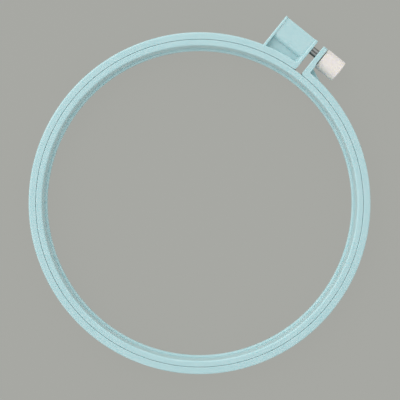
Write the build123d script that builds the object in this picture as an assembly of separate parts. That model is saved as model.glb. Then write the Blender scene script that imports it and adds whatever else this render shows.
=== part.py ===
from build123d import *

import math
import os

# An embroidery hoop: a closed inner hoop inside an outer hoop that is cut through at one
# place and drawn together there by a clamp screw. Lengths are in millimetres. Z runs up
# along the hoops' axis from their underside at z = 0. The clamp stands on the +Y side,
# its screw lies along X, and the knob is at the +X end.

# Both hoops
field_radius = 88.9
hoop_depth = 14.0
seam_clearance = 0.2
seam_edge_round = 0.3

# Inner hoop: a plain wall with a rounded lip around the foot of its inner side
inner_wall = 3.45
lip_reach = 1.35
lip_depth = 2.2
lip_edge_round = 1.1
lip_root_round = 0.2
field_edge_round = 1.0

# Outer hoop
outer_wall = 4.0
outer_edge_round = 1.0

# The cut through the outer hoop, which lies to the nut's side of the centre line
gap_width = 4.15
gap_offset = 3.325
gap_corner_round = 1.8
gap_corner_sink = 0.1

# Clamp screw: a number 10 machine screw, with its head moulded into the knob
screw_diameter = 4.83
screw_reach = 11.45
screw_length = 25.4
screw_tip_chamfer = 0.7
screw_head_flats = 7.94
screw_head_height = 3.05
screw_head_cover = 2.0

# Captive nut: a small-pattern hexagon nut
nut_flats = 7.94
nut_thickness = 3.18
nut_thread_clearance = 0.05
nut_slot_clearance = 0.1
nut_corner_cut = 0.35

# Nut housing, moulded with the outer hoop and open underneath
housing_length = 23.1
housing_tip_step = 0.1
housing_corner_round = 0.4
gap_wall = 1.75
gap_wall_flare = 1.75
gap_wall_web_radius = 2.5
far_wall = 1.5
far_wall_web_radius = 1.0
panel_drop = 0.6
panel_wall = 1.8
shoulder_round = 3.0
end_edge_round = 0.8
end_skin = 0.93
end_wall = 1.3
back_wall = 1.5
recess_width = 3.25
recess_drop = 3.8
recess_floor = 2.0
nut_rib = 1.5

# Plain lug on the other side of the cut, thicker at its root, with a low gusset beside it
lug_thickness = 2.95
lug_tip_step = 0.1
lug_corner_round = 0.4
lug_root_thickness = 3.5
lug_root_reach = 4.0
lug_root_taper = 2.4
lug_web_radius = 1.2
gusset_rise = 3.9
gusset_run = 11.5
gusset_height = 8.0

# Knob washer
washer_diameter = 9.5
washer_thickness = 0.4
washer_seat_gap = 0.12
screw_hole_clearance = 0.285
washer_hole_clearance = 0.185

# Screw knob
knob_diameter = 12.7
knob_length = 12.38
knob_dome = 0.45
knob_edge_round = 0.6
knob_face_round = 0.25
knob_face_gap = 0.05
knob_grooves = 60
knob_groove_radius = 0.3
knob_groove_depth = 0.1
knob_grip_margin = 1.0

# Extra length of a cutting shape past the solid it cuts
overrun = 2.0

# Radii and places that follow from the sizes above
lip_radius = field_radius - lip_reach
inner_hoop_radius = field_radius + inner_wall
outer_bore_radius = inner_hoop_radius + seam_clearance
outer_hoop_radius = outer_bore_radius + outer_wall
outer_mid_radius = outer_bore_radius + outer_wall / 2

gap_nut_side = -gap_offset - gap_width / 2
gap_free_side = -gap_offset + gap_width / 2

screw_y = outer_hoop_radius + screw_reach
screw_z = hoop_depth / 2
screw_radius = screw_diameter / 2
screw_hole_radius = screw_radius + screw_hole_clearance

nut_slot_half = nut_flats / 2 + nut_slot_clearance
nut_corner_radius = nut_flats / 2 / math.cos(math.pi / 6)
nut_slot_end = gap_nut_side - gap_wall - nut_thickness - 2 * nut_slot_clearance

housing_far_side = gap_nut_side - housing_length
housing_end = screw_y + nut_slot_half + end_skin
housing_tip = housing_end + housing_tip_step
box_back = outer_hoop_radius + recess_width
panel_top = hoop_depth - panel_drop

lug_outer_face = gap_free_side + lug_thickness
lug_tip = housing_end + housing_tip_step - lug_tip_step

washer_face = lug_outer_face + washer_seat_gap
knob_face = washer_face + washer_thickness + knob_face_gap
screw_tip = knob_face - screw_length
screw_head_face = knob_face + screw_head_cover


def height_on_circle(radius, x):
    """The y of a circle about the hoops' axis, on the clamp's side, at this x."""
    return math.sqrt(radius**2 - x**2)


def block(x_low, x_high, y_low, y_high, z_low, z_high):
    """A box between two corners."""
    size = (x_high - x_low, y_high - y_low, z_high - z_low)
    middle = ((x_low + x_high) / 2, (y_low + y_high) / 2, (z_low + z_high) / 2)
    return Pos(*middle) * Box(*size)


def rod(radius, x_low, x_high):
    """A round bar on the screw's axis."""
    middle = (x_low + x_high) / 2
    return Pos(middle, screw_y, screw_z) * Rot(0, 90, 0) * Cylinder(radius, x_high - x_low)


def hexagon_bar(flats, x_low, x_high):
    """A hexagonal bar on the screw's axis, with two of its flats facing +Y and -Y."""
    side_radius = flats / 2 / math.cos(math.pi / 6)
    with BuildPart() as bar:
        with BuildSketch(Plane((x_low, screw_y, screw_z), (0, 1, 0), (1, 0, 0))):
            RegularPolygon(side_radius, 6, rotation=30)
        extrude(amount=x_high - x_low)
    return bar.part


def plate(outline, z_low, z_high, rounds=()):
    """A flat plate from an outline in plan. Each round is a corner's index and radius."""
    with BuildPart() as body:
        with BuildSketch(Plane.XY.offset(z_low)) as plan:
            with BuildLine():
                Polyline(*outline, close=True)
            make_face()
            for index, radius in rounds:
                corner = plan.vertices().sort_by_distance(Vertex(*outline[index], 0))[0]
                fillet(corner, radius)
        extrude(amount=z_high - z_low)
    return body.part


def corner_web(face_x, side, radius, z_low, z_high):
    """Fills the corner between a wall's face at face_x and the outer hoop with a concave arc.

    side is +1 or -1, the way along X in which the face looks.
    """
    centre_x = face_x + side * radius
    centre_y = height_on_circle(outer_hoop_radius + radius, centre_x)
    inside_share = outer_mid_radius / (outer_hoop_radius + radius)
    outline = [
        (face_x, centre_y),
        (centre_x, centre_y),
        (centre_x * inside_share, centre_y * inside_share),
        (face_x, height_on_circle(outer_mid_radius, face_x)),
    ]
    arc_tool = Pos(centre_x, centre_y, (z_low + z_high) / 2) * Cylinder(
        radius, z_high - z_low + overrun
    )
    return plate(outline, z_low, z_high) - arc_tool


def plain_ring(bore_radius, ring_radius, bore_round, outer_round):
    """A ring about the hoops' axis with its edges rounded."""
    with BuildPart() as ring:
        with BuildSketch(Plane.XZ) as section:
            with Locations(((bore_radius + ring_radius) / 2, hoop_depth / 2)):
                Rectangle(ring_radius - bore_radius, hoop_depth)
            fillet(section.vertices().group_by(Axis.X)[0], bore_round)
            fillet(section.vertices().group_by(Axis.X)[-1], outer_round)
        revolve(axis=Axis.Z)
    return ring.part


def inner_hoop():
    """The closed hoop that the cloth is laid over, with the lip inside its foot."""
    outline = [
        (lip_radius, 0),
        (inner_hoop_radius, 0),
        (inner_hoop_radius, hoop_depth),
        (field_radius, hoop_depth),
        (field_radius, lip_depth),
        (lip_radius, lip_depth),
    ]
    rounds = [
        (lip_edge_round, outline[5]),
        (seam_edge_round, outline[1]),
        (seam_edge_round, outline[2]),
        (field_edge_round, outline[3]),
        (lip_root_round, outline[4]),
    ]
    with BuildPart() as hoop:
        with BuildSketch(Plane.XZ) as section:
            with BuildLine():
                Polyline(*outline, close=True)
            make_face()
            for radius, place in rounds:
                corner = section.vertices().sort_by_distance(Vertex(*place, 0))[0]
                fillet(corner, radius)
        revolve(axis=Axis.Z)
    return hoop.part


def nut_box():
    """The raised box over the nut, with its rounded shoulder towards the hoop."""
    box_depth = housing_end - box_back
    far_inside = housing_far_side + far_wall
    with BuildPart() as box:
        with BuildSketch(Plane.YZ.offset(far_inside)) as section:
            with Locations((box_back + box_depth / 2, panel_top / 2)):
                Rectangle(box_depth, panel_top)
            top_corners = section.vertices().group_by(Axis.Y)[-1].sort_by(Axis.X)
            fillet(top_corners[0], shoulder_round)
            end_corner = section.vertices().group_by(Axis.Y)[-1].sort_by(Axis.X)[-1]
            fillet(end_corner, end_edge_round)
        extrude(amount=gap_nut_side - gap_wall - far_inside)
    return box.part


def gap_side_wall():
    """The housing's wall along the cut, where it takes the pull: its inner side slopes."""
    wall_inside = gap_nut_side - gap_wall
    root = height_on_circle(outer_mid_radius, gap_nut_side)
    outline = [
        (gap_nut_side, root),
        (gap_nut_side, housing_tip),
        (wall_inside, housing_tip),
        (wall_inside, root),
    ]
    rounds = [(1, housing_corner_round), (2, housing_corner_round)]
    wall = plate(outline, 0, hoop_depth, rounds)
    flare_root = height_on_circle(outer_mid_radius, wall_inside - gap_wall_flare)
    recess_bottom = hoop_depth - recess_drop - recess_floor
    with BuildPart() as flare:
        with BuildSketch(Plane.XZ.offset(-flare_root)):
            with BuildLine():
                Polyline(
                    (gap_nut_side, hoop_depth),
                    (wall_inside, hoop_depth),
                    (wall_inside - gap_wall_flare, hoop_depth - recess_drop),
                    (wall_inside - gap_wall_flare, recess_bottom),
                    (gap_nut_side, recess_bottom),
                    close=True,
                )
            make_face()
        extrude(amount=flare_root - (housing_end - end_edge_round))
    return wall + flare.part


def far_side_wall():
    """The housing's end wall around the screw's tip."""
    root = height_on_circle(outer_mid_radius, housing_far_side)
    outline = [
        (housing_far_side, root),
        (housing_far_side, housing_tip),
        (housing_far_side + far_wall, housing_tip),
        (housing_far_side + far_wall, root),
    ]
    rounds = [(1, housing_corner_round), (2, housing_corner_round)]
    return plate(outline, 0, hoop_depth, rounds)


def nut_housing():
    """The hollow housing beside the cut, with a slot that the nut is pushed up into."""
    far_inside = housing_far_side + far_wall
    gap_inside = gap_nut_side - gap_wall
    recess_top = hoop_depth - recess_drop
    root = height_on_circle(outer_mid_radius, housing_far_side)
    floor_end = box_back + back_wall / 2
    floor = block(far_inside, gap_inside, root, floor_end, recess_top - recess_floor, recess_top)
    floor -= Pos(0, 0, hoop_depth / 2) * Cylinder(outer_mid_radius, hoop_depth)
    tunnel = block(
        far_inside,
        nut_slot_end - nut_rib,
        box_back + back_wall,
        housing_end - end_wall,
        -overrun,
        panel_top - panel_wall,
    )
    nut_slot = block(
        nut_slot_end,
        gap_inside,
        screw_y - nut_slot_half,
        screw_y + nut_slot_half,
        -overrun,
        screw_z + nut_corner_radius + nut_slot_clearance,
    )
    housing = nut_box() + [gap_side_wall(), far_side_wall(), floor]
    recess_bottom = recess_top - recess_floor
    housing += corner_web(gap_inside, -1, gap_wall_web_radius, recess_bottom, hoop_depth)
    housing += corner_web(far_inside, 1, far_wall_web_radius, recess_bottom, hoop_depth)
    screw_hole = rod(screw_hole_radius, nut_slot_end - nut_rib - overrun, gap_nut_side + overrun)
    return housing - tunnel - nut_slot - screw_hole


def plain_lug():
    """The lug on the other side of the cut, which the knob pushes on."""
    root_face = gap_free_side + lug_root_thickness
    root = height_on_circle(outer_mid_radius, root_face)
    root_end = outer_hoop_radius + lug_root_reach
    outline = [
        (gap_free_side, root),
        (gap_free_side, lug_tip),
        (lug_outer_face, lug_tip),
        (lug_outer_face, root_end + lug_root_taper),
        (root_face, root_end),
        (root_face, root),
    ]
    lug = plate(outline, 0, hoop_depth, [(1, lug_corner_round), (2, lug_corner_round)])
    lug += corner_web(root_face, 1, lug_web_radius, 0, hoop_depth)
    gusset_end = lug_outer_face + gusset_run
    gusset = [
        (gap_free_side, root),
        (gap_free_side, outer_hoop_radius + gusset_rise),
        (lug_outer_face, outer_hoop_radius + gusset_rise),
        (gusset_end, height_on_circle(outer_hoop_radius, gusset_end)),
        (gusset_end, height_on_circle(outer_mid_radius, gusset_end)),
    ]
    lug += plate(gusset, 0, gusset_height)
    return lug - rod(screw_hole_radius, gap_free_side - overrun, lug_outer_face + overrun)


def gap_cut():
    """The space between the outer hoop's two ends, flared where their corners are rounded."""
    flare_nut_side = gap_nut_side - gap_corner_round
    flare_free_side = gap_free_side + gap_corner_round
    nut_flare_y = height_on_circle(outer_bore_radius, flare_nut_side) - gap_corner_sink
    free_flare_y = height_on_circle(outer_bore_radius, flare_free_side) - gap_corner_sink
    inside_y = nut_flare_y - overrun
    outside_y = outer_hoop_radius + overrun
    with BuildPart() as cut:
        with BuildSketch(Plane.XY.offset(-overrun)):
            with BuildLine():
                Line((gap_nut_side, outside_y), (gap_nut_side, nut_flare_y + gap_corner_round))
                RadiusArc(
                    (gap_nut_side, nut_flare_y + gap_corner_round),
                    (flare_nut_side, nut_flare_y),
                    -gap_corner_round,
                )
                Polyline(
                    (flare_nut_side, nut_flare_y),
                    (flare_nut_side, inside_y),
                    (flare_free_side, inside_y),
                    (flare_free_side, free_flare_y),
                )
                RadiusArc(
                    (flare_free_side, free_flare_y),
                    (gap_free_side, free_flare_y + gap_corner_round),
                    -gap_corner_round,
                )
                Polyline(
                    (gap_free_side, free_flare_y + gap_corner_round),
                    (gap_free_side, outside_y),
                    (gap_nut_side, outside_y),
                )
            make_face()
        extrude(amount=hoop_depth + 2 * overrun)
    return cut.part


def half_region(side):
    """All the space on one side of the hoop: the cut at the clamp, the flexure opposite."""
    far = outer_hoop_radius + housing_tip
    outline = [
        (0, -far),
        (side * far, -far),
        (side * far, far),
        (-gap_offset, far),
        (-gap_offset, 0),
        (0, 0),
    ]
    return plate(outline, -overrun, hoop_depth + overrun)


def outer_hoop_sides():
    """The outer hoop as its nut side and its free side, which meet opposite the clamp."""
    ring = plain_ring(outer_bore_radius, outer_hoop_radius, seam_edge_round, outer_edge_round)
    ring -= gap_cut()
    nut_side = (ring & half_region(-1)) + nut_housing()
    free_side = (ring & half_region(1)) + plain_lug()
    return nut_side, free_side


def captive_nut():
    """The hexagon nut, against the wall beside the cut."""
    high = gap_nut_side - gap_wall
    low = high - nut_thickness
    nut = hexagon_bar(nut_flats, low, high)
    corner_cone = rod(nut_corner_radius, low, high)
    corner_cone = chamfer(corner_cone.edges().filter_by(GeomType.CIRCLE), nut_corner_cut)
    bore = rod(screw_radius + nut_thread_clearance, low - overrun, high + overrun)
    return (nut & corner_cone) - bore


def clamp_screw():
    """The screw's shank and its hexagon head, which is inside the knob."""
    shank = rod(screw_radius, screw_tip, screw_head_face)
    tip_edge = shank.edges().filter_by(GeomType.CIRCLE).sort_by(Axis.X)[0]
    shank = chamfer(tip_edge, screw_tip_chamfer)
    head = hexagon_bar(screw_head_flats, screw_head_face, screw_head_face + screw_head_height)
    return shank + head


def knob_washer():
    """The washer between the lug and the knob."""
    high = washer_face + washer_thickness
    disc = rod(washer_diameter / 2, washer_face, high)
    hole = rod(screw_radius + washer_hole_clearance, washer_face - overrun, high + overrun)
    return disc - hole


def screw_knob(screw):
    """The knob: a round grip with fine grooves, a domed end and the screw's head inside."""
    radius = knob_diameter / 2
    rim = knob_face + knob_length
    crown = rim + knob_dome
    dome_radius = (radius**2 + knob_dome**2) / (2 * knob_dome)
    with BuildPart() as grip:
        with BuildSketch(Plane((0, screw_y, screw_z), (1, 0, 0), (0, 0, 1))) as section:
            with BuildLine():
                Polyline((crown, 0), (knob_face, 0), (knob_face, radius), (rim, radius))
                RadiusArc((rim, radius), (crown, 0), dome_radius)
            make_face()
            face_corner = section.vertices().group_by(Axis.Y)[-1].sort_by(Axis.X)[0]
            fillet(face_corner, knob_face_round)
            rim_corner = section.vertices().group_by(Axis.Y)[-1].sort_by(Axis.X)[-1]
            fillet(rim_corner, knob_edge_round)
        revolve(axis=Axis((0, screw_y, screw_z), (1, 0, 0)))
    knob = grip.part
    groove_low = knob_face + knob_grip_margin
    groove_high = rim - knob_grip_margin
    groove_offset = radius + knob_groove_radius - knob_groove_depth
    groove = rod(knob_groove_radius, groove_low, groove_high)
    for index in range(knob_grooves):
        angle = 2 * math.pi * index / knob_grooves
        shift = Pos(0, groove_offset * math.cos(angle), groove_offset * math.sin(angle))
        knob -= shift * groove
    return knob - screw


def write(name, solid):
    """Writes one piece under its node's name."""
    export_step(solid, os.path.join("parts", name + ".step"))


def main():
    os.makedirs("parts", exist_ok=True)
    nut_side, free_side = outer_hoop_sides()
    screw = clamp_screw()
    write("inner_hoop", inner_hoop())
    write("outer_hoop_nut_side", nut_side)
    write("outer_hoop_free_side", free_side)
    write("captive_nut", captive_nut())
    write("clamp_screw", screw)
    write("knob_washer", knob_washer())
    write("screw_knob", screw_knob(screw))


main()
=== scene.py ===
"""Looks of an embroidery hoop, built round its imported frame.

The hoop lies flat on a pale floor, with its clamp towards +Y and the clamp's knob at the +X
end. Lengths are in metres, in the frame's own coordinates, and MM turns a size in millimetres
into them.
"""

from __future__ import annotations

import logging
import math
from contextlib import contextmanager
from dataclasses import dataclass, field
from enum import Enum
from typing import Callable, Iterator, Sequence

import bmesh
import bpy
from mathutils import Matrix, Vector

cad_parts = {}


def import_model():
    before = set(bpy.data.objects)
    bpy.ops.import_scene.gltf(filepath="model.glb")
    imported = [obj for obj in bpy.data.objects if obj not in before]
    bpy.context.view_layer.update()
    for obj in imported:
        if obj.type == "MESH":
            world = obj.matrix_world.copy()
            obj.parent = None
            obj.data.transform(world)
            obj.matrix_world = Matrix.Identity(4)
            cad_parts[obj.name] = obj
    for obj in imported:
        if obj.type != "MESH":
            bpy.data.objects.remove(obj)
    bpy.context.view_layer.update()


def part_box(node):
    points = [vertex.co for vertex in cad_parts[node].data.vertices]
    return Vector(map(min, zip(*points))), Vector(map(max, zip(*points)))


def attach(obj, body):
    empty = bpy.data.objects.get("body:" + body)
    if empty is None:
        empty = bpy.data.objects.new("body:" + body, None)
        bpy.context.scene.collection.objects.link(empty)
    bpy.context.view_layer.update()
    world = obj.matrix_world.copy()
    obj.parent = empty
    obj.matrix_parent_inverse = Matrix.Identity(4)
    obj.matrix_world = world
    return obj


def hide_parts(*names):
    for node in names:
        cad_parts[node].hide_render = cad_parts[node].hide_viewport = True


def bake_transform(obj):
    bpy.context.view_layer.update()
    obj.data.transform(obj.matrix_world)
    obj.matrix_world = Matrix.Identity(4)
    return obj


LOG = logging.getLogger("hoop")

MM = 0.001
MERGE_DISTANCE = 0.001 * MM  # corners closer than this are one corner
GRIP = 0.02 * MM  # near enough to count as at a place, and the least room round a form
OVERLAP = 0.6 * MM  # how far two forms of a moulding reach into each other
OVERRUN = 2.0 * MM  # how far a cutting shape sticks out of what it cuts
SMOOTH_ANGLE = math.radians(32)

Place = tuple[float, float, float]
Corner = tuple[float, float, float]


class Part(Enum):
    """What of a mesh is chosen in edit mode."""

    CORNERS = "VERT"
    EDGES = "EDGE"
    FACES = "FACE"


class Joining(Enum):
    """How a tool shape is combined with a piece."""

    ADD = "UNION"
    CUT = "DIFFERENCE"
    KEEP_COMMON = "INTERSECT"


class Lie(Enum):
    """The plane in which an outline is drawn, and the way it is then drawn out."""

    PLAN = "XY"
    SECTION_ALONG_X = "YZ"
    SECTION_ALONG_Y = "XZ"

    def place(self, first: float, second: float, depth: float) -> Vector:
        """The point at two coordinates in the plane and one along its normal."""
        if self is Lie.PLAN:
            return Vector((first, second, depth))
        if self is Lie.SECTION_ALONG_X:
            return Vector((depth, first, second))
        return Vector((first, depth, second))


def activate(obj: bpy.types.Object) -> None:
    """Makes one object the only selected one, and the active one."""
    bpy.ops.object.select_all(action="DESELECT")
    obj.select_set(True)
    bpy.context.view_layer.objects.active = obj


@contextmanager
def editing(obj: bpy.types.Object) -> Iterator[None]:
    """Opens an object in edit mode with nothing selected, and closes it again."""
    activate(obj)
    bpy.ops.object.mode_set(mode="EDIT")
    bpy.ops.mesh.select_all(action="DESELECT")
    yield
    bpy.ops.object.mode_set(mode="OBJECT")


def choose(obj: bpy.types.Object, part: Part, test: Callable[[Vector], bool]) -> int:
    """Selects, in edit mode, the corners, edges or faces whose middle passes a test.

    Args:
        obj: The object that is being edited.
        part: What is chosen.
        test: Says whether a middle point is wanted.

    Returns:
        How many were chosen.
    """
    bpy.ops.mesh.select_all(action="DESELECT")
    bpy.ops.mesh.select_mode(type=part.value)
    mesh = bmesh.from_edit_mesh(obj.data)
    items = {Part.CORNERS: mesh.verts, Part.EDGES: mesh.edges, Part.FACES: mesh.faces}[part]
    count = 0
    for item in items:
        if part is Part.CORNERS:
            middle = item.co
        elif part is Part.EDGES:
            middle = (item.verts[0].co + item.verts[1].co) / 2
        else:
            middle = item.calc_center_median()
        if test(middle):
            item.select_set(True)
            count += 1
    bmesh.update_edit_mesh(obj.data)
    if not count:
        raise ValueError(f"nothing was chosen on {obj.name}")
    return count


def near(point: Vector) -> Callable[[Vector], bool]:
    """A test for a middle that lies at a point."""
    return lambda middle: (middle - point).length < GRIP


def tidy_mesh(obj: bpy.types.Object) -> None:
    """Merges a mesh's doubles and turns its faces outwards."""
    with editing(obj):
        bpy.ops.mesh.select_all(action="SELECT")
        bpy.ops.mesh.remove_doubles(threshold=MERGE_DISTANCE)
        bpy.ops.mesh.delete_loose()
        bpy.ops.mesh.select_all(action="SELECT")
        bpy.ops.mesh.normals_make_consistent(inside=False)


def combine(obj: bpy.types.Object, tool: bpy.types.Object, joining: Joining) -> None:
    """Combines a tool shape with a piece and removes the tool."""
    activate(obj)
    bpy.ops.object.modifier_add(type="BOOLEAN")
    modifier = obj.modifiers[-1]
    modifier.operation = joining.value
    modifier.solver = "MANIFOLD"
    modifier.object = tool
    bpy.ops.object.modifier_apply(modifier=modifier.name)
    bpy.data.objects.remove(tool, do_unlink=True)


def block(name: str, low: Place, high: Place) -> bpy.types.Object:
    """A box between two corners."""
    middle = [(a + b) / 2 for a, b in zip(low, high)]
    size = [b - a for a, b in zip(low, high)]
    bpy.ops.mesh.primitive_cube_add(size=1, location=middle, scale=size)
    obj = bpy.context.active_object
    obj.name = name
    bpy.ops.object.transform_apply(location=True, rotation=True, scale=True)
    return obj


def round_bar(
    name: str, radius: float, start: Place, length: float, upright: bool = False, sides: int = 96
) -> bpy.types.Object:
    """A round bar from a point, along X or, when upright, along Z.

    Args:
        name: The object's name.
        radius: The bar's radius.
        start: The middle of its first end.
        length: How far it runs.
        upright: Whether it runs along Z.
        sides: How many faces it has round it.

    Returns:
        The bar.
    """
    along = Vector((0, 0, 1)) if upright else Vector((1, 0, 0))
    turn = (0, 0, 0) if upright else (0, math.pi / 2, 0)
    bpy.ops.mesh.primitive_cylinder_add(
        vertices=sides,
        radius=radius,
        depth=length,
        location=Vector(start) + along * length / 2,
        rotation=turn,
    )
    obj = bpy.context.active_object
    obj.name = name
    bpy.ops.object.transform_apply(location=True, rotation=True, scale=True)
    return obj


def outline_face(
    name: str, lie: Lie, depth: float, corners: Sequence[Corner], round_steps: int = 6
) -> bpy.types.Object:
    """A flat face with rounded corners: a filled circle whose corners are put in place.

    Args:
        name: The object's name.
        lie: The plane that the corners are given in.
        depth: Where that plane stands along its normal.
        corners: Each corner's two coordinates and the radius of its round.
        round_steps: How many straight pieces a round has.

    Returns:
        The face, as an object.
    """
    bpy.ops.mesh.primitive_circle_add(
        vertices=len(corners), radius=1, fill_type="NGON", location=(0, 0, 0)
    )
    obj = bpy.context.active_object
    obj.name = name
    for vertex, (first, second, _) in zip(obj.data.vertices, corners):
        vertex.co = lie.place(first, second, depth)
    with editing(obj):
        for first, second, radius in corners:
            if radius:
                choose(obj, Part.CORNERS, near(lie.place(first, second, depth)))
                bpy.ops.mesh.bevel(
                    offset=radius, segments=round_steps, affect="VERTICES", clamp_overlap=False
                )
    return obj


def prism(
    name: str,
    lie: Lie,
    corners: Sequence[Corner],
    low: float,
    high: float,
    rim_round: float = 0.0,
    round_steps: int = 6,
) -> bpy.types.Object:
    """A bar with the section of an outline, its rims rounded if a radius is given.

    Args:
        name: The object's name.
        lie: The plane of the outline.
        corners: Each corner's two coordinates and the radius of its round.
        low: Where the bar begins along the plane's normal.
        high: Where it ends.
        rim_round: The radius of its two rims.
        round_steps: How many straight pieces a round has.

    Returns:
        The bar.
    """
    obj = outline_face(name, lie, low, corners, round_steps)
    with editing(obj):
        bpy.ops.mesh.select_all(action="SELECT")
        bpy.ops.mesh.extrude_region_move(
            TRANSFORM_OT_translate={"value": lie.place(0, 0, high - low)}
        )
        bpy.ops.mesh.select_all(action="SELECT")
        bpy.ops.mesh.normals_make_consistent(inside=False)
        if rim_round:
            normal = lie.place(0, 0, 1)
            choose(
                obj,
                Part.EDGES,
                lambda middle: min(abs(middle.dot(normal) - low), abs(middle.dot(normal) - high))
                < GRIP,
            )
            bpy.ops.mesh.bevel(
                offset=rim_round, segments=round_steps, affect="EDGES", clamp_overlap=False
            )
    return obj


def turn_section(obj: bpy.types.Object, centre: Place, axis: Place, steps: int) -> None:
    """Turns a flat section into a closed round body.

    Args:
        obj: The section, a flat face.
        centre: A point on the axis.
        axis: The way that the axis runs.
        steps: How many pieces the full turn has.
    """
    with editing(obj):
        bpy.ops.mesh.select_all(action="SELECT")
        bpy.ops.mesh.delete(type="ONLY_FACE")
        bpy.ops.mesh.select_all(action="SELECT")
        bpy.ops.mesh.spin(steps=steps, angle=math.tau, center=centre, axis=axis)
    tidy_mesh(obj)


def smooth(obj: bpy.types.Object) -> None:
    """Shades a finished piece smooth up to an angle, with its flat faces kept flat."""
    activate(obj)
    bpy.ops.object.shade_smooth_by_angle(angle=SMOOTH_ANGLE)
    bpy.ops.object.modifier_add(type="WEIGHTED_NORMAL")
    obj.modifiers[-1].keep_sharp = True
    bpy.ops.object.modifier_apply(modifier=obj.modifiers[-1].name)


def linear(code: str) -> tuple[float, float, float, float]:
    """An sRGB hex colour as the linear colour that a shader takes."""

    def channel(value: float) -> float:
        """One channel's linear value."""
        return value / 12.92 if value <= 0.04045 else ((value + 0.055) / 1.055) ** 2.4

    red, green, blue = (channel(int(code[i : i + 2], 16) / 255) for i in (0, 2, 4))
    return red, green, blue, 1.0


def add_node(
    tree: bpy.types.NodeTree, kind: str, settings: dict | None = None, **inputs: object
) -> bpy.types.Node:
    """Adds a node, sets it up and links it.

    Args:
        tree: The node tree.
        kind: The node's type.
        settings: Values of the node's own properties.
        **inputs: A value, or a socket to link, for each input, with _ for a space.

    Returns:
        The node.
    """
    node = tree.nodes.new(kind)
    for key, value in (settings or {}).items():
        setattr(node, key, value)
    for key, value in inputs.items():
        socket = node.inputs[int(key[1:]) if key[1:].isdigit() else key.replace("_", " ")]
        if isinstance(value, bpy.types.NodeSocket):
            tree.links.new(value, socket)
        else:
            socket.default_value = value
    return node


def new_material(name: str) -> tuple[bpy.types.Material, bpy.types.NodeTree]:
    """An empty node material and its tree."""
    material = bpy.data.materials.new(name)
    material.use_nodes = True
    material.node_tree.nodes.clear()
    return material, material.node_tree


def dress(obj: bpy.types.Object, material: bpy.types.Material) -> None:
    """Gives a piece its material."""
    obj.data.materials.clear()
    obj.data.materials.append(material)


@dataclass(frozen=True)
class SatinPlastic:
    """Injection-moulded ABS from a spark-eroded tool, which leaves an even, satin skin.

    The skin's grain is too fine to see as dots, though it is drawn coarser than it is, at a third
    of a millimetre. It breaks up the gloss and softens each edge's highlight, and the melt's flow
    leaves the colour a trace uneven over a few centimetres. Light goes almost a millimetre into
    the plastic, which lightens the shade in its corners.
    """

    name: str
    colour: str
    flow_colour: str
    roughness: float
    scatter: float
    scatter_reach: Place
    ior: float = 1.53
    gloss_spread: float = 0.1
    grain: float = 0.35 * MM
    grain_height: float = 0.004 * MM
    flow: float = 18 * MM

    def make(self) -> bpy.types.Material:
        """Builds the material."""
        material, tree = new_material(self.name)
        place = add_node(tree, "ShaderNodeTexCoord").outputs["Object"]
        flow = add_node(
            tree, "ShaderNodeTexNoise", Vector=place, Scale=1 / self.flow, Detail=2.0, Roughness=0.5
        )
        tone = add_node(
            tree,
            "ShaderNodeMix",
            {"data_type": "RGBA"},
            _0=flow.outputs["Fac"],
            _6=linear(self.colour),
            _7=linear(self.flow_colour),
        )
        grain = add_node(
            tree,
            "ShaderNodeTexNoise",
            Vector=place,
            Scale=1 / self.grain,
            Detail=3.0,
            Roughness=0.6,
        )
        gloss = add_node(
            tree,
            "ShaderNodeMapRange",
            Value=grain.outputs["Fac"],
            To_Min=self.roughness * (1 - self.gloss_spread),
            To_Max=self.roughness * (1 + self.gloss_spread),
        )
        bump = add_node(
            tree,
            "ShaderNodeBump",
            Height=grain.outputs["Fac"],
            Distance=self.grain_height,
            Strength=1.0,
        )
        shader = add_node(
            tree,
            "ShaderNodeBsdfPrincipled",
            Base_Color=tone.outputs[2],
            Roughness=gloss.outputs["Result"],
            Normal=bump.outputs["Normal"],
            IOR=self.ior,
            Subsurface_Weight=self.scatter,
            Subsurface_Radius=self.scatter_reach,
            Subsurface_Scale=MM,
        )
        add_node(tree, "ShaderNodeOutputMaterial", Surface=shader.outputs["BSDF"])
        return material


@dataclass(frozen=True)
class DrawnZincSteel:
    """Drawn steel wire under bright zinc plate, with the die's marks along its length.

    The marks part the shank's gloss into a few long light and dark streaks, and its colour is
    painted darker along the same streaks too, as painted reflection streaks.
    """

    name: str
    colour: str = "B9BBB9"
    # painted reflection: the darker colour painted into the shank's long streaks
    mark_and_painted_reflection_colour: str = "6F7371"
    roughness: float = 0.224
    mark_roughness: float = 0.35
    mark_and_streak_width: float = 1.2 * MM
    mark_and_streak_length: float = 60 * MM
    mark_height: float = 0.01 * MM

    def make(self) -> bpy.types.Material:
        """Builds the material."""
        material, tree = new_material(self.name)
        place = add_node(tree, "ShaderNodeTexCoord").outputs["Object"]
        drawn = add_node(
            tree,
            "ShaderNodeMapping",
            Vector=place,
            Scale=(1 / self.mark_and_streak_length, 1 / self.mark_and_streak_width, 1 / self.mark_and_streak_width),
        )
        die_marks_and_painted_streaks = add_node(
            tree, "ShaderNodeTexNoise", Vector=drawn.outputs["Vector"], Scale=1.0, Detail=3.0
        )
        # painted reflection streaks: the colour goes dark along the marks' long streaks
        tone = add_node(
            tree,
            "ShaderNodeMix",
            {"data_type": "RGBA"},
            _0=die_marks_and_painted_streaks.outputs["Fac"],
            _6=linear(self.mark_and_painted_reflection_colour),
            _7=linear(self.colour),
        )
        gloss = add_node(
            tree,
            "ShaderNodeMapRange",
            Value=die_marks_and_painted_streaks.outputs["Fac"],
            To_Min=self.mark_roughness,
            To_Max=self.roughness,
        )
        bump = add_node(
            tree,
            "ShaderNodeBump",
            Height=die_marks_and_painted_streaks.outputs["Fac"],
            Distance=self.mark_height,
            Strength=1.0,
        )
        shader = add_node(
            tree,
            "ShaderNodeBsdfPrincipled",
            Base_Color=tone.outputs[2],
            Metallic=1.0,
            Roughness=gloss.outputs["Result"],
            Normal=bump.outputs["Normal"],
        )
        add_node(tree, "ShaderNodeOutputMaterial", Surface=shader.outputs["BSDF"])
        return material


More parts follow.
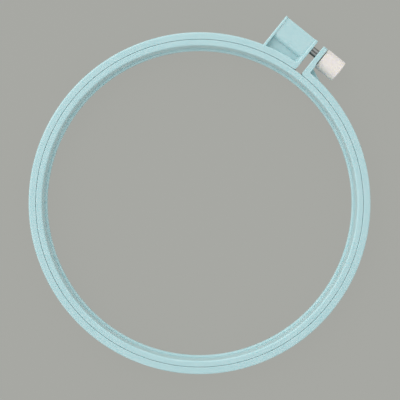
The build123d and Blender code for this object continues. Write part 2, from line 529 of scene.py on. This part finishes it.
@dataclass(frozen=True)
class StudioCard:
    """Matt card under the hoop, an even warm grey that keeps only a faint shadow."""

    name: str = "matt_studio_card"
    colour: str = "A7A8A3"
    evenness: float = 0.94

    def make(self) -> bpy.types.Material:
        """Builds the material. Its evenness is how much of its colour no shadow reaches."""
        material, tree = new_material(self.name)
        path = add_node(tree, "ShaderNodeLightPath")
        mirrored = add_node(
            tree,
            "ShaderNodeMath",
            {"operation": "MAXIMUM"},
            _0=path.outputs["Is Glossy Ray"],
            _1=path.outputs["Is Transmission Ray"],
        )
        seen = add_node(
            tree,
            "ShaderNodeMath",
            {"operation": "MAXIMUM"},
            _0=path.outputs["Is Camera Ray"],
            _1=mirrored.outputs["Value"],
        )
        share = add_node(
            tree,
            "ShaderNodeMath",
            {"operation": "MULTIPLY"},
            _0=seen.outputs["Value"],
            _1=self.evenness,
        )
        matt = add_node(tree, "ShaderNodeBsdfDiffuse", Color=linear(self.colour))
        glow = add_node(tree, "ShaderNodeEmission", Color=linear(self.colour), Strength=1.0)
        card = add_node(
            tree,
            "ShaderNodeMixShader",
            _0=share.outputs["Value"],
            _1=matt.outputs["BSDF"],
            _2=glow.outputs["Emission"],
        )
        add_node(tree, "ShaderNodeOutputMaterial", Surface=card.outputs["Shader"])
        return material


@dataclass
class InnerHoop:
    """The closed hoop that the cloth is laid over, with a lip inside its foot."""

    wall: float = 3.45 * MM
    lip_reach: float = 1.35 * MM
    lip_depth: float = 2.2 * MM
    lip_round: float = 1.1 * MM
    lip_root_round: float = 0.2 * MM
    seam_round: float = 0.3 * MM
    field_round: float = 1.0 * MM
    steps: int = 288

    def build(self, plastic: bpy.types.Material) -> bpy.types.Object:
        """Models the hoop as one turned section and dresses it.

        Args:
            plastic: The hoops' material.

        Returns:
            The hoop.
        """
        _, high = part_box("inner_hoop")
        outer, top = high.x, high.z
        field_radius = outer - self.wall
        lip_radius = field_radius - self.lip_reach
        section = [
            (lip_radius, 0, self.lip_root_round),
            (outer, 0, self.seam_round),
            (outer, top, self.seam_round),
            (field_radius, top, self.field_round),
            (field_radius, self.lip_depth, self.lip_root_round),
            (lip_radius, self.lip_depth, self.lip_round),
        ]
        obj = outline_face("inner_hoop_moulding", Lie.SECTION_ALONG_Y, 0, section)
        turn_section(obj, (0, 0, 0), (0, 0, 1), self.steps)
        smooth(obj)
        dress(obj, plastic)
        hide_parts("inner_hoop")
        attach(obj, "inner_hoop_body")
        LOG.info("inner hoop: %d faces", len(obj.data.polygons))
        return obj


@dataclass
class Clamp:
    """Where the clamp's parts stand, read from the frame."""

    screw_y: float = field(init=False)
    screw_z: float = field(init=False)
    nut_far: float = field(init=False)
    nut_near: float = field(init=False)
    lug_face: float = field(init=False)
    housing_tip: float = field(init=False)
    lug_tip: float = field(init=False)

    def __post_init__(self) -> None:
        """Reads the places from the nodes' boxes."""
        washer_low, washer_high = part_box("knob_washer")
        self.screw_y = (washer_low.y + washer_high.y) / 2
        self.screw_z = (washer_low.z + washer_high.z) / 2
        self.nut_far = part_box("captive_nut")[0].x
        self.nut_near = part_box("captive_nut")[1].x
        self.lug_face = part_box("outer_hoop_free_side")[0].x
        self.housing_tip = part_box("outer_hoop_nut_side")[1].y
        self.lug_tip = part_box("outer_hoop_free_side")[1].y


@dataclass
class OuterHoop:
    """The sprung hoop: cut through at the clamp, with a nut housing and a plain lug."""

    wall: float = 4.0 * MM
    seam_round: float = 0.3 * MM
    outer_round: float = 1.0 * MM
    gap_width: float = 4.15 * MM
    gap_round: float = 1.8 * MM
    gap_sink: float = 0.1 * MM
    edge_round: float = 0.5 * MM
    tip_round: float = 0.4 * MM
    steps: int = 288

    housing_length: float = 23.1 * MM
    gap_wall: float = 1.75 * MM
    gap_wall_flare: float = 1.85 * MM
    gap_wall_web: float = 2.5 * MM
    far_wall: float = 1.5 * MM
    far_wall_web: float = 1.0 * MM
    web_reach: float = 1.7
    box_length: float = 13.2 * MM
    tip_step: float = 0.1 * MM
    panel_drop: float = 0.6 * MM
    panel_wall: float = 1.8 * MM
    shoulder_round: float = 3.0 * MM
    end_round: float = 0.8 * MM
    foot_round: float = 0.3 * MM
    foot_step: float = 0.02 * MM
    end_wall: float = 1.3 * MM
    back_wall: float = 1.5 * MM
    recess_drop: float = 3.8 * MM
    recess_floor: float = 2.0 * MM
    floor_start: float = 0.9
    nut_rib: float = 1.5 * MM
    nut_slot_room: float = 0.2 * MM
    nut_slot_side_room: float = 0.1 * MM
    screw_hole: float = 2.7 * MM

    lug_thickness: float = 2.95 * MM
    lug_root: float = 3.5 * MM
    lug_root_reach: float = 4.0 * MM
    lug_root_taper: float = 2.4 * MM
    lug_taper_round: float = 0.6 * MM
    lug_web: float = 1.2 * MM
    gusset_rise: float = 3.9 * MM
    gusset_run: float = 11.5 * MM
    gusset_height: float = 8.0 * MM
    gusset_round: float = 0.4 * MM

    clamp: Clamp = field(init=False)
    outer_radius: float = field(init=False)
    bore_radius: float = field(init=False)
    mid_radius: float = field(init=False)
    top: float = field(init=False)
    free_face: float = field(init=False)
    nut_face: float = field(init=False)
    wall_inside: float = field(init=False)
    housing_far: float = field(init=False)
    far_inside: float = field(init=False)
    box_end: float = field(init=False)
    box_back: float = field(init=False)

    def __post_init__(self) -> None:
        """Reads what the sizes are measured from out of the frame."""
        self.outer_radius = -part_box("outer_hoop_nut_side")[0].x
        self.bore_radius = self.outer_radius - self.wall
        self.mid_radius = self.outer_radius - self.wall / 2
        self.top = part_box("inner_hoop")[1].z
        self.clamp = Clamp()
        self.free_face = self.clamp.lug_face
        self.nut_face = self.free_face - self.gap_width
        self.wall_inside = self.nut_face - self.gap_wall
        self.housing_far = self.nut_face - self.housing_length
        self.far_inside = self.housing_far + self.far_wall
        self.box_end = self.clamp.housing_tip - self.tip_step
        self.box_back = self.box_end - self.box_length

    def on_circle(self, radius: float, x: float) -> float:
        """The y of a circle about the hoops' axis at an x, on the clamp's side."""
        return math.sqrt(radius**2 - x**2)

    def ring(self) -> bpy.types.Object:
        """The closed ring, turned from its section."""
        section = [
            (self.bore_radius, 0, self.seam_round),
            (self.outer_radius, 0, self.outer_round),
            (self.outer_radius, self.top, self.outer_round),
            (self.bore_radius, self.top, self.seam_round),
        ]
        obj = outline_face("outer_hoop_moulding", Lie.SECTION_ALONG_Y, 0, section)
        turn_section(obj, (0, 0, 0), (0, 0, 1), self.steps)
        return obj

    def gap_tool(self) -> bpy.types.Object:
        """The space between the ring's two ends, flared where their corners are rounded."""
        nut_flare = self.nut_face - self.gap_round
        free_flare = self.free_face + self.gap_round
        nut_y = self.on_circle(self.bore_radius, nut_flare) - self.gap_sink
        free_y = self.on_circle(self.bore_radius, free_flare) - self.gap_sink
        inside = nut_y - OVERRUN
        outside = self.outer_radius + OVERRUN
        corners = [
            (nut_flare - OVERRUN, inside, 0),
            (free_flare + OVERRUN, inside, 0),
            (free_flare + OVERRUN, free_y, 0),
            (self.free_face, free_y, self.gap_round),
            (self.free_face, outside, 0),
            (self.nut_face, outside, 0),
            (self.nut_face, nut_y, self.gap_round),
            (nut_flare - OVERRUN, nut_y, 0),
        ]
        return prism("gap_tool", Lie.PLAN, corners, -OVERRUN, self.top + OVERRUN)

    def side_wall(self, name: str, open_face: float, inside: float, web: float) -> bpy.types.Object:
        """One of the housing's two full-height walls, with a concave web at its root.

        Args:
            name: The object's name.
            open_face: The x of the face that looks away from the housing.
            inside: The x of the face that looks into it.
            web: The radius of the web between that face and the hoop.

        Returns:
            The wall.
        """
        way = 1 if inside > open_face else -1
        foot = inside + way * web * self.web_reach
        sink = self.outer_round / 2
        corners = [
            (open_face, self.on_circle(self.mid_radius, open_face), 0),
            (open_face, self.clamp.housing_tip, self.tip_round),
            (inside, self.clamp.housing_tip, self.tip_round),
            (inside, self.on_circle(self.outer_radius, inside) - sink, web),
            (foot, self.on_circle(self.outer_radius, foot) - sink, 0),
            (foot, self.on_circle(self.mid_radius, foot), 0),
        ]
        return prism(name, Lie.PLAN, corners, 0, self.top, self.edge_round)

    def slope(self) -> bpy.types.Object:
        """The sloping inner side of the wall along the gap."""
        lean = math.atan2(self.gap_wall_flare, self.recess_drop)
        rim = Vector((self.wall_inside + self.edge_round, self.top - self.edge_round))
        start = rim + self.edge_round * Vector((-math.cos(lean), math.sin(lean)))
        floor = self.top - self.recess_drop
        foot = start.x - (start.y - floor) * math.tan(lean)
        corners = [
            (start.x, start.y, 0),
            (foot, floor, 0),
            (foot, floor - self.recess_floor, 0),
            (rim.x, floor - self.recess_floor, 0),
            (rim.x, rim.y, 0),
        ]
        root = self.on_circle(self.mid_radius, foot)
        end = self.box_end - self.end_round
        return prism("slope", Lie.SECTION_ALONG_Y, corners, root, end)

    def nut_box(self) -> bpy.types.Object:
        """The raised box over the nut, with its rounded shoulder towards the hoop.

        Its underside lies a foot_step above the wall's, because two faces in one plane would
        leave the joined mesh with an edge of too many faces.
        """
        panel = self.top - self.panel_drop
        corners = [
            (self.box_back, self.foot_step, 0),
            (self.box_end, self.foot_step, self.foot_round),
            (self.box_end, panel, self.end_round),
            (self.box_back, panel, self.shoulder_round),
        ]
        low = self.far_inside - OVERLAP
        high = self.wall_inside + OVERLAP
        return prism("nut_box", Lie.SECTION_ALONG_X, corners, low, high, round_steps=10)

    def floor_plate(self) -> bpy.types.Object:
        """The floor of the recess, begun inside the hoop and cut back to its wall's middle."""
        floor = self.top - self.recess_drop
        start_y = self.bore_radius * self.floor_start
        low = (self.far_inside - OVERLAP, start_y, floor - self.recess_floor)
        high = (self.wall_inside + OVERLAP, self.box_back + OVERLAP, floor)
        plate = block("floor_plate", low, high)
        start = (0, 0, low[2] - OVERRUN)
        length = self.recess_floor + 2 * OVERRUN
        hub = round_bar("hub", self.mid_radius, start, length, upright=True, sides=self.steps)
        combine(plate, hub, Joining.CUT)
        return plate

    def lug(self) -> bpy.types.Object:
        """The plain lug that the knob pushes on, thicker at its root."""
        face = self.free_face
        outer_face = face + self.lug_thickness
        root_face = face + self.lug_root
        root_end = self.outer_radius + self.lug_root_reach
        foot = root_face + 2 * self.lug_web
        sink = self.outer_round / 2
        corners = [
            (face, self.on_circle(self.mid_radius, face), 0),
            (foot, self.on_circle(self.mid_radius, foot), 0),
            (foot, self.on_circle(self.outer_radius, foot) - sink, 0),
            (root_face, self.on_circle(self.outer_radius, root_face) - sink, self.lug_web),
            (root_face, root_end, self.lug_taper_round),
            (outer_face, root_end + self.lug_root_taper, self.lug_taper_round),
            (outer_face, self.clamp.lug_tip, self.tip_round),
            (face, self.clamp.lug_tip, self.tip_round),
        ]
        return prism("lug", Lie.PLAN, corners, 0, self.top, self.edge_round)

    def gusset(self) -> bpy.types.Object:
        """The low gusset in the corner between the lug and the hoop."""
        outer_face = self.free_face + self.lug_thickness
        end = outer_face + self.gusset_run
        rise = self.outer_radius + self.gusset_rise
        corners = [
            (self.free_face + OVERLAP, self.on_circle(self.mid_radius, outer_face), 0),
            (end, self.on_circle(self.mid_radius, end), 0),
            (end, self.on_circle(self.outer_radius, end) - self.gusset_round / 2, 0),
            (outer_face, rise, 0),
            (self.free_face + OVERLAP, rise, 0),
        ]
        return prism("gusset", Lie.PLAN, corners, 0, self.gusset_height, self.gusset_round)

    def hollows(self) -> list[bpy.types.Object]:
        """The shapes that are cut out: the tunnel, the nut's slot and the screw's hole."""
        clamp = self.clamp
        nut_low, nut_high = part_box("captive_nut")
        slot_far = clamp.nut_far - self.nut_slot_room
        slot_room = self.nut_slot_side_room
        tunnel = block(
            "tunnel",
            (self.far_inside, self.box_back + self.back_wall, -OVERRUN),
            (
                slot_far - self.nut_rib,
                self.box_end - self.end_wall,
                self.top - self.panel_drop - self.panel_wall,
            ),
        )
        slot = block(
            "slot",
            (slot_far, nut_low.y - slot_room, -OVERRUN),
            (clamp.nut_near, nut_high.y + slot_room, nut_high.z + slot_room),
        )
        start = (slot_far - self.nut_rib - OVERRUN, clamp.screw_y, clamp.screw_z)
        length = self.free_face + self.lug_thickness + OVERRUN - start[0]
        return [tunnel, slot, round_bar("screw_hole_tool", self.screw_hole, start, length)]

    def build(self, plastic: bpy.types.Material) -> bpy.types.Object:
        """Models the hoop with its clamp's two sides as one moulding and dresses it.

        Args:
            plastic: The hoops' material.

        Returns:
            The hoop.
        """
        obj = self.ring()
        combine(obj, self.gap_tool(), Joining.CUT)
        gap_wall = self.side_wall("gap_wall", self.nut_face, self.wall_inside, self.gap_wall_web)
        far_wall = self.side_wall("far_wall", self.housing_far, self.far_inside, self.far_wall_web)
        forms = [gap_wall, far_wall, self.slope(), self.nut_box(), self.floor_plate()]
        for form in [*forms, self.lug(), self.gusset()]:
            combine(obj, form, Joining.ADD)
        for tool in self.hollows():
            combine(obj, tool, Joining.CUT)
        tidy_mesh(obj)
        smooth(obj)
        dress(obj, plastic)
        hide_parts("outer_hoop_nut_side", "outer_hoop_free_side")
        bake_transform(obj)
        LOG.info("outer hoop: %d faces", len(obj.data.polygons))
        return obj


@dataclass
class Hardware:
    """The clamp's steel: screw, captive nut and knob washer."""

    diameter: float = 4.83 * MM
    tip_chamfer: float = 0.7 * MM
    pitch: float = 25.4 / 24 * MM
    thread_depth: float = 0.6 * MM
    thread_far: float = 0.9 * MM
    thread_end_round: float = 0.225 * MM
    thread_steps: int = 32
    crest_share: float = 1 / 8
    head_flats: float = 7.94 * MM
    head_height: float = 3.05 * MM
    washer_round: float = 0.12 * MM
    nut_chamfer: float = 0.35 * MM
    bore_room: float = 0.05 * MM
    washer_room: float = 0.185 * MM
    sides: int = 96

    axis: Place = field(init=False)

    def __post_init__(self) -> None:
        """Reads where the screw's axis lies, as its point at x = 0."""
        clamp = Clamp()
        self.axis = (0, clamp.screw_y, clamp.screw_z)

    def build(self, steel: bpy.types.Material) -> list[bpy.types.Object]:
        """Models the three steel parts and dresses them.

        Args:
            steel: Their material.

        Returns:
            The screw, the nut and the washer.
        """
        parts = [self.screw(), self.nut(), self.washer()]
        bodies = ["screw_body", "outer_hoop_body", "washer_body"]
        nodes = ["clamp_screw", "captive_nut", "knob_washer"]
        for obj, body, node in zip(parts, bodies, nodes):
            smooth(obj)
            dress(obj, steel)
            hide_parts(node)
            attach(obj, body)
            LOG.info("%s: %d faces", obj.name, len(obj.data.polygons))
        return parts

    def on_axis(self, x: float) -> Place:
        """The point of the screw's axis at an x."""
        return (x, self.axis[1], self.axis[2])

    def hexagon(self, name: str, flats: float, low: float, high: float) -> bpy.types.Object:
        """A hexagonal bar on the axis, with two flats facing +Y and -Y."""
        side_radius = flats / 2 / math.cos(math.pi / 6)
        bpy.ops.mesh.primitive_cylinder_add(
            vertices=6,
            radius=side_radius,
            depth=high - low,
            location=self.on_axis((low + high) / 2),
            rotation=(0, math.pi / 2, 0),
        )
        obj = bpy.context.active_object
        obj.name = name
        bpy.ops.object.transform_apply(location=True, rotation=True, scale=True)
        return obj

    def turned(self, name: str, section: Sequence[Corner]) -> bpy.types.Object:
        """A round part on the axis, from its section given as x, radius and round."""
        z = self.axis[2]
        corners = [(x, z + radius, rounding) for x, radius, rounding in section]
        obj = outline_face(name, Lie.SECTION_ALONG_Y, self.axis[1], corners)
        turn_section(obj, self.axis, (1, 0, 0), self.sides)
        return obj

    def screw(self) -> bpy.types.Object:
        """The screw: a plain shank, a rolled thread from the nut to the tip, a hexagon head."""
        low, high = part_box("clamp_screw")
        head_start = high.x - self.head_height
        inside_head = head_start + self.head_height / 2
        radius = self.diameter / 2
        shank_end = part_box("captive_nut")[1].x + self.thread_far
        shank = self.turned(
            "steel_clamp_screw",
            [
                (shank_end, 0, 0),
                (inside_head, 0, 0),
                (inside_head, radius, 0),
                (shank_end, radius, self.thread_end_round),
            ],
        )
        thread = self.thread(radius, low.x, shank_end + self.pitch / 2)
        combine(shank, thread, Joining.ADD)
        head = self.hexagon("screw_head", self.head_flats, head_start, high.x)
        combine(shank, head, Joining.ADD)
        tidy_mesh(shank)
        return shank

    def thread(self, radius: float, low: float, high: float) -> bpy.types.Object:
        """A right-hand V thread, cut flat at its two ends and chamfered at the tip.

        Args:
            radius: The thread's outer radius.
            low: The x of the tip.
            high: The x of the other end.

        Returns:
            The thread, a closed solid.
        """
        root = radius - self.thread_depth
        first = low - 2 * self.pitch
        turns = math.ceil((high - first) / self.pitch) + 2
        half_crest = self.pitch * self.crest_share / 2
        points = [
            (0.0, root),
            (self.pitch / 2 - half_crest, radius),
            (self.pitch / 2 + half_crest, radius),
            (self.pitch, root),
        ]
        bpy.ops.mesh.primitive_circle_add(
            vertices=4, radius=1, fill_type="NOTHING", location=self.axis
        )
        obj = bpy.context.active_object
        obj.name = "thread"
        for vertex, (x, r) in zip(obj.data.vertices, points):
            vertex.co = Vector((first + x, 0, r))
        with editing(obj):
            choose(obj, Part.EDGES, near(Vector((first + self.pitch / 2, 0, root))))
            bpy.ops.mesh.delete(type="EDGE")
        bpy.ops.object.modifier_add(type="SCREW")
        modifier = obj.modifiers[-1]
        modifier.axis = "X"
        modifier.screw_offset = self.pitch
        modifier.iterations = turns
        modifier.steps = modifier.render_steps = self.thread_steps
        modifier.use_merge_vertices = False
        bpy.ops.object.modifier_apply(modifier=modifier.name)
        bpy.ops.object.transform_apply(location=True, rotation=True, scale=True)
        tidy_mesh(obj)
        for x, side in ((low, -1), (high, 1)):
            with editing(obj):
                bpy.ops.mesh.select_all(action="SELECT")
                bpy.ops.mesh.bisect(
                    plane_co=self.on_axis(x),
                    plane_no=(side, 0, 0),
                    use_fill=True,
                    clear_outer=True,
                    threshold=MERGE_DISTANCE,
                )
        tidy_mesh(obj)
        blank = self.turned(
            "blank",
            [
                (low, 0, 0),
                (high + OVERRUN, 0, 0),
                (high + OVERRUN, radius + GRIP, 0),
                (low + self.tip_chamfer, radius + GRIP, 0),
                (low, radius - self.tip_chamfer, 0),
            ],
        )
        combine(obj, blank, Joining.KEEP_COMMON)
        return obj

    def nut(self) -> bpy.types.Object:
        """The small-pattern hexagon nut, its corners chamfered."""
        low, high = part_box("captive_nut")
        flats = high.y - low.y
        obj = self.hexagon("steel_captive_nut", flats, low.x, high.x)
        corner = (high.z - low.z) / 2
        cone = self.turned(
            "cone",
            [
                (low.x, 0, 0),
                (high.x, 0, 0),
                (high.x, corner - self.nut_chamfer, 0),
                (high.x - self.nut_chamfer, corner, 0),
                (low.x + self.nut_chamfer, corner, 0),
                (low.x, corner - self.nut_chamfer, 0),
            ],
        )
        combine(obj, cone, Joining.KEEP_COMMON)
        start = self.on_axis(low.x - OVERRUN)
        length = high.x - low.x + 2 * OVERRUN
        bore = round_bar("bore", self.diameter / 2 + self.bore_room, start, length)
        combine(obj, bore, Joining.CUT)
        tidy_mesh(obj)
        return obj

    def washer(self) -> bpy.types.Object:
        """The washer between the lug and the knob, its edges tumbled."""
        low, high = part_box("knob_washer")
        inner = self.diameter / 2 + self.washer_room
        outer = (high.y - low.y) / 2
        return self.turned(
            "steel_knob_washer",
            [
                (low.x, inner, self.washer_round),
                (high.x, inner, self.washer_round),
                (high.x, outer, self.washer_round),
                (low.x, outer, self.washer_round),
            ],
        )


@dataclass
class Knob:
    """The white knob moulded on the screw's head, with fine grip grooves round it."""

    dome: float = 0.45 * MM
    edge_round: float = 0.6 * MM
    face_round: float = 0.25 * MM
    grooves: int = 60
    columns_per_groove: int = 4
    groove_columns: int = 2
    groove_depth: float = 0.1 * MM
    groove_side: float = 0.08 * MM
    grip_margin: float = 1.0 * MM
    grip_share: float = 0.9
    dome_steps: int = 6

    def build(self, plastic: bpy.types.Material) -> bpy.types.Object:
        """Models the knob as a turned section with sunk grooves and dresses it.

        Args:
            plastic: The knob's material.

        Returns:
            The knob.
        """
        low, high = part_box("screw_knob")
        clamp = Clamp()
        radius = (high.y - low.y) / 2
        rim = high.x - self.dome
        dome_radius = (radius**2 + self.dome**2) / (2 * self.dome)
        z = clamp.screw_z
        corners = [
            (low.x, z, 0),
            (low.x, z + radius, self.face_round),
            (low.x + self.grip_margin, z + radius, 0),
            (rim - self.grip_margin, z + radius, 0),
            (rim, z + radius, self.edge_round),
        ]
        for step in range(1, self.dome_steps + 1):
            height = radius * (1 - step / self.dome_steps)
            rise = math.sqrt(dome_radius**2 - height**2) - (dome_radius - self.dome)
            corners.append((rim + rise, z + height, 0))
        obj = outline_face("white_knob", Lie.SECTION_ALONG_Y, clamp.screw_y, corners)
        steps = self.grooves * self.columns_per_groove
        axis_point = Vector((0, clamp.screw_y, clamp.screw_z))
        turn_section(obj, axis_point, (1, 0, 0), steps)
        self.sink_grooves(obj, axis_point, radius, (low.x + rim) / 2, steps)
        smooth(obj)
        dress(obj, plastic)
        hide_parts("screw_knob")
        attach(obj, "screw_body")
        LOG.info("knob: %d faces", len(obj.data.polygons))
        return obj

    def sink_grooves(
        self, obj: bpy.types.Object, axis_point: Vector, radius: float, middle_x: float, steps: int
    ) -> None:
        """Sinks the grooves: the grip's columns of faces are taken in groups, one to a groove.

        The first groove_columns of each group go in. The grip's faces are those that lie further
        from the axis than grip_share of the radius, halfway along the grip.

        Args:
            obj: The knob.
            axis_point: A point on its axis.
            radius: Its radius.
            middle_x: The x of the grip's middle.
            steps: How many columns of faces the grip has.
        """

        def in_groove(middle: Vector) -> bool:
            """Whether a face is one of a groove's columns."""
            out = middle - axis_point
            inside = math.hypot(out.y, out.z) < radius * self.grip_share
            if inside or abs(middle.x - middle_x) > GRIP:
                return False
            column = int(math.atan2(out.z, out.y) % math.tau / math.tau * steps)
            return column % self.columns_per_groove < self.groove_columns

        with editing(obj):
            choose(obj, Part.FACES, in_groove)
            bpy.ops.mesh.inset(thickness=self.groove_side, depth=-self.groove_depth)


@dataclass
class Studio:
    """The floor, the light tent, its lamp and the camera of the photograph.

    The tent is a white dome with a dim hole for the camera at its top. Its radiance goes from
    the card's at the horizon to full, and down again to the hole's. It is brighter on the side
    where a lamp stands outside it, and the lamp shows through the cloth as a soft patch.
    """

    photo_width: float = 225.5 * MM
    camera_height: float = 614 * MM
    camera_x: float = -0.935 * MM
    camera_y: float = 1.549 * MM
    screw_heading: float = math.radians(39.0)
    clip_start: float = 10 * MM
    floor_size: float = 30.0
    horizon: float = 0.6
    tent: float = 1.0
    tent_foot: float = 0.12
    bright_side: Place = (-0.993, 0.122, 0.0)
    lean: float = 0.15
    hole: float = 0.30
    hole_edge: float = 0.85
    hole_inside: float = 0.97
    lamp_place: Place = (-1.0, 0.12, 0.82)
    lamp_size: float = 1.2
    lamp_power: float = 5.5

    def build(self) -> None:
        """Puts up the floor, the tent, the lamp and the camera."""
        self.floor()
        self.world()
        self.camera()
        self.softbox("side_softbox", Vector(self.lamp_place), self.lamp_size, self.lamp_power)
        bpy.context.scene.view_settings.view_transform = "Standard"

    def floor(self) -> None:
        """Adds the card that the hoop lies on."""
        bpy.ops.object.select_all(action="DESELECT")
        bpy.ops.mesh.primitive_plane_add(size=self.floor_size, location=(0, 0, 0))
        card = bpy.context.active_object
        card.name = "studio_card"
        card.data.materials.append(StudioCard().make())

    def world(self) -> None:
        """Hangs the tent, as light whose strength goes by its height over the horizon."""
        world = bpy.data.worlds.new("light_tent")
        world.use_nodes = True
        tree = world.node_tree
        tree.nodes.clear()
        way = add_node(tree, "ShaderNodeTexCoord").outputs["Generated"]
        height = add_node(tree, "ShaderNodeSeparateXYZ", Vector=way).outputs["Z"]
        wall = add_node(
            tree,
            "ShaderNodeMapRange",
            {"interpolation_type": "SMOOTHSTEP"},
            Value=height,
            From_Min=0.0,
            From_Max=self.tent_foot,
            To_Min=self.horizon,
            To_Max=self.tent,
        )
        top = add_node(
            tree,
            "ShaderNodeMapRange",
            {"interpolation_type": "SMOOTHSTEP"},
            Value=height,
            From_Min=self.hole_edge,
            From_Max=self.hole_inside,
            To_Min=1.0,
            To_Max=self.hole,
        )
        dome = add_node(
            tree,
            "ShaderNodeMath",
            {"operation": "MULTIPLY"},
            _0=wall.outputs["Result"],
            _1=top.outputs["Result"],
        )
        facing = add_node(
            tree, "ShaderNodeVectorMath", {"operation": "DOT_PRODUCT"}, _0=way, _1=self.bright_side
        )
        lean = add_node(
            tree,
            "ShaderNodeMapRange",
            Value=facing.outputs["Value"],
            From_Min=-1.0,
            From_Max=1.0,
            To_Min=1 - self.lean,
            To_Max=1 + self.lean,
        )
        strength = add_node(
            tree,
            "ShaderNodeMath",
            {"operation": "MULTIPLY"},
            _0=dome.outputs["Value"],
            _1=lean.outputs["Result"],
        )
        tent = add_node(
            tree,
            "ShaderNodeBackground",
            Color=(1.0, 1.0, 1.0, 1.0),
            Strength=strength.outputs["Value"],
        )
        add_node(tree, "ShaderNodeOutputWorld", Surface=tent.outputs["Background"])
        bpy.context.scene.world = world

    def softbox(self, name: str, place: Vector, size: float, power: float) -> None:
        """Hangs a square soft light that looks at the hoop.

        Args:
            name: The light's name.
            place: Where it hangs.
            size: The length of its side.
            power: Its power in watts.
        """
        lamp = bpy.data.lights.new(name, "AREA")
        lamp.shape = "SQUARE"
        lamp.size = size
        lamp.energy = power
        obj = bpy.data.objects.new(name, lamp)
        obj.location = place
        obj.rotation_mode = "QUATERNION"
        obj.rotation_quaternion = (-place).to_track_quat("-Z", "Y")
        bpy.context.scene.collection.objects.link(obj)

    def camera(self) -> None:
        """Looks straight down, turned so that the screw's axis lies as in the photograph."""
        lens = bpy.data.cameras.new("camera")
        distance = self.camera_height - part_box("inner_hoop")[1].z
        lens.lens = lens.sensor_width * distance / self.photo_width
        lens.clip_start = self.clip_start
        obj = bpy.data.objects.new("camera", lens)
        obj.location = (self.camera_x, self.camera_y, self.camera_height)
        obj.rotation_euler = (0, 0, self.screw_heading)
        bpy.context.scene.collection.objects.link(obj)
        bpy.context.scene.camera = obj


def main() -> None:
    """Loads the frame, dresses every piece and puts up the studio."""
    logging.basicConfig(level=logging.INFO, format="%(name)s: %(message)s")
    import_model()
    aqua = SatinPlastic(
        name="satin_aqua_abs",
        colour="B7D6D9",
        flow_colour="BBD9DC",
        roughness=0.42,
        scatter=1.0,
        scatter_reach=(0.8, 0.9, 0.9),
    ).make()
    white = SatinPlastic(
        name="satin_white_abs",
        colour="E9E4DF",
        flow_colour="ECE7E3",
        roughness=0.38,
        scatter=1.0,
        scatter_reach=(0.6, 0.6, 0.5),
    ).make()
    steel = DrawnZincSteel("bright_zinc_on_drawn_steel").make()
    InnerHoop().build(aqua)
    OuterHoop().build(aqua)
    Hardware().build(steel)
    Knob().build(white)
    Studio().build()


if __name__ == "__main__":
    main()
